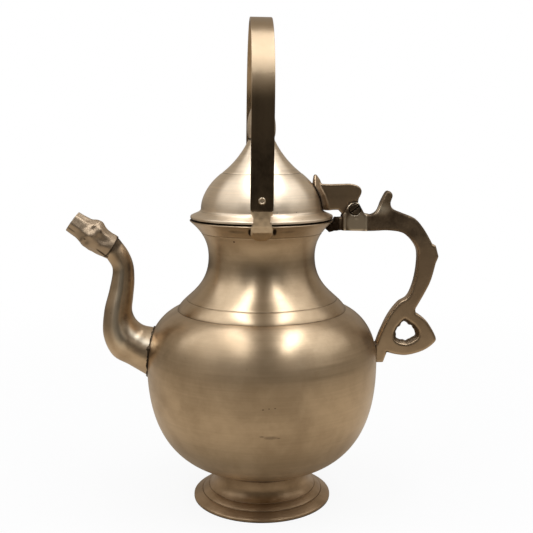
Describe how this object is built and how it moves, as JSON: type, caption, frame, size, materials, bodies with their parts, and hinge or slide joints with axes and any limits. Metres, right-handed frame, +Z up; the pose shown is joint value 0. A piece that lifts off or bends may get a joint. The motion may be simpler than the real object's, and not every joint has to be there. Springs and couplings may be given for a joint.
{
  "type": "kamandal",
  "caption": "Lidded metal water vessel with a curved spout, a cast side handle with a hinged lid and thumb piece, and a swinging strap bail over the top.",
  "frame": {"origin": "on the surface it stands on, under the middle of its outline box; the vessel's own upright axis stands 5.2 mm towards the handle from it, with no offset across", "axes": "+Z up, -X towards the spout, +X towards the side handle, Y across, along the hinge pins of the lid and the bail"},
  "size_m": [0.2622, 0.164, 0.3404],
  "materials": {
    "turned_brass": "lathe-brushed satin",
    "cast_brass": "hand-filed casting with a soft sheen",
    "strap_brass": "polished strip",
    "dark_brass": "tarnished, unpolished"
  },
  "bodies": {
    "vessel": {"foot_ring": "turned_brass", "belly_shell": "turned_brass", "neck_shell": "turned_brass", "spout_tube": "turned_brass", "spout_nozzle": "cast_brass", "handle": "cast_brass", "hinge_screw": "dark_brass", "bail_lug_front": "cast_brass", "bail_lug_rear": "cast_brass", "bail_rivet_front": "dark_brass", "bail_rivet_rear": "dark_brass"},
    "lid": {"lid_dome": "turned_brass", "lid_finial": "turned_brass", "thumb_piece": "cast_brass"},
    "bail": {"bail_strap": "strap_brass"}
  },
  "joints": [
    {"name": "lid_hinge", "type": "hinge", "parent": "vessel", "child": "lid", "pos_m": [0.0702, 0, 0.2103], "axis": [0, 1, 0], "range_deg": [0, 78]},
    {"name": "bail_swing", "type": "hinge", "parent": "vessel", "child": "bail", "pos_m": [0.003, 0, 0.2205], "axis": [0, 1, 0], "range_deg": [-93, 95]}
  ]
}
